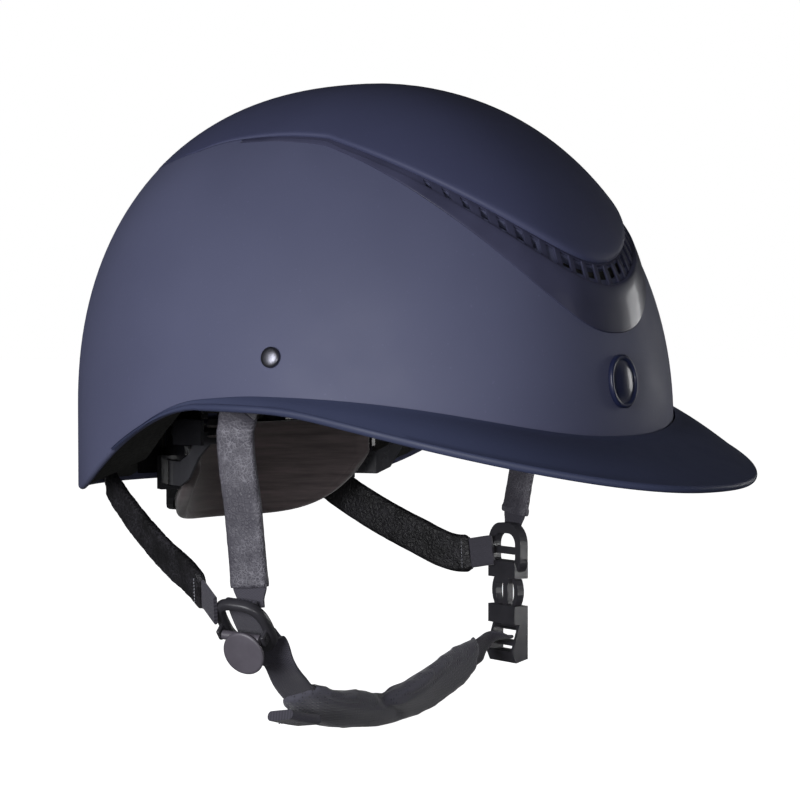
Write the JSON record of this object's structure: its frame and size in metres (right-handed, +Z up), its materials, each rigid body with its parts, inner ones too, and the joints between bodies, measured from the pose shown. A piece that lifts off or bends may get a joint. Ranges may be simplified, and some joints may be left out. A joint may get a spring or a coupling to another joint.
{
  "type": "equestrian riding helmet",
  "caption": "Riding helmet with a matte shell, vented crown, peaked brim, foam liner, dial-adjusted nape cradle and a padded three-point harness with a side-release buckle.",
  "frame": {"origin": "centre of the flat face of the crown pad, where the top of the head rests", "axes": "+X forward to the peak, +Y to the wearer's left, +Z up"},
  "size_m": [0.2994, 0.217, 0.2657],
  "materials": {
    "shell_navy": "soft-touch matte navy lacquer",
    "panel_navy": "deeper matte navy lacquer",
    "brim_navy": "matte navy lacquer",
    "gloss_navy": "high gloss navy",
    "foam": "moulded black foam, fine bead texture",
    "lining": "brushed dark padding",
    "leather": "pebbled black leather",
    "webbing": "ribbed nylon webbing",
    "chin_mesh": "dark padded mesh",
    "black_plastic": "black moulded plastic",
    "buckle_plastic": "black acetal, satin",
    "gunmetal": "dark gunmetal",
    "steel": "plain steel"
  },
  "bodies": {
    "helmet": {"outer_shell": "shell_navy", "crown_panel": "panel_navy", "vent_trim": "gloss_navy", "brim": "brim_navy", "front_emblem": "gloss_navy", "eps_liner": "foam", "crown_pad": "lining", "headband_pad": "lining", "side_rivet_right": "gunmetal", "side_rivet_left": "gunmetal", "rivet_washer_right": "steel", "rivet_washer_left": "steel", "front_webbing_right": "webbing", "front_webbing_left": "webbing", "front_sleeve_right": "leather", "front_sleeve_left": "leather", "rear_webbing_right": "webbing", "rear_webbing_left": "webbing", "rear_sleeve_right": "leather", "rear_sleeve_left": "leather", "rear_anchor_right": "steel", "rear_anchor_left": "steel", "cradle_guide_right": "black_plastic", "cradle_guide_left": "black_plastic", "band_anchor_right": "black_plastic", "band_anchor_left": "black_plastic", "divider_frame_right": "buckle_plastic", "divider_pin_right": "steel", "buckle_male": "buckle_plastic"},
    "cradle": {"cradle_frame": "black_plastic", "nape_pad": "lining", "dial_housing": "black_plastic"},
    "dial": {"dial_pinion": "steel", "dial_knob": "black_plastic", "dial_screw": "steel"},
    "band_right": {"size_band_right": "black_plastic"},
    "band_left": {"size_band_left": "black_plastic"},
    "divider_lever": {"divider_lever_right": "buckle_plastic"},
    "prong_front": {"buckle_prong_front": "buckle_plastic"},
    "prong_rear": {"buckle_prong_rear": "buckle_plastic"},
    "chin_strap": {"buckle_female": "buckle_plastic", "chin_webbing_left": "webbing", "chin_webbing_right": "webbing", "chin_pad": "chin_mesh", "strap_tail": "webbing"}
  },
  "joints": [
    {"name": "cradle_shift", "type": "slide", "parent": "helmet", "child": "cradle", "axis": [1, 0, 0], "range_m": [0, 0.01]},
    {"name": "dial_turn", "type": "hinge", "parent": "cradle", "child": "dial", "pos_m": [-0.1068, 0, -0.126], "axis": [-1, 0, 0], "range_deg": [0, 115]},
    {"name": "band_right_draw", "type": "hinge", "parent": "cradle", "child": "band_right", "pos_m": [-0.047, 0, -0.126], "axis": [0, 0, -1], "range_deg": [0, 10]},
    {"name": "band_left_draw", "type": "hinge", "parent": "cradle", "child": "band_left", "pos_m": [-0.047, 0, -0.126], "axis": [0, 0, 1], "range_deg": [0, 10]},
    {"name": "divider_lever_flip", "type": "hinge", "parent": "helmet", "child": "divider_lever", "pos_m": [0.00284, -0.08809, -0.18514], "axis": [-0.9596, -0.2699, 0.08], "range_deg": [0, 75]},
    {"name": "prong_front_squeeze", "type": "hinge", "parent": "helmet", "child": "prong_front", "pos_m": [0.00107, 0.08024, -0.1755], "axis": [0.2588, 0.9659, 0], "range_deg": [0, 6]},
    {"name": "prong_rear_squeeze", "type": "hinge", "parent": "helmet", "child": "prong_rear", "pos_m": [-0.01207, 0.08376, -0.1755], "axis": [-0.2588, -0.9659, 0], "range_deg": [0, 6]},
    {"name": "chin_strap_swing", "type": "hinge", "parent": "helmet", "child": "chin_strap", "pos_m": [-0.00028, -0.07824, -0.18934], "axis": [-0.9596, -0.2699, 0.08], "range_deg": [0, 40]}
  ],
  "couplings": [
    {"joint": "dial_turn", "follows": "cradle_shift", "rad_per_m": 200},
    {"joint": "band_right_draw", "follows": "cradle_shift", "rad_per_m": 16.5},
    {"joint": "band_left_draw", "follows": "cradle_shift", "rad_per_m": 16.5}
  ]
}
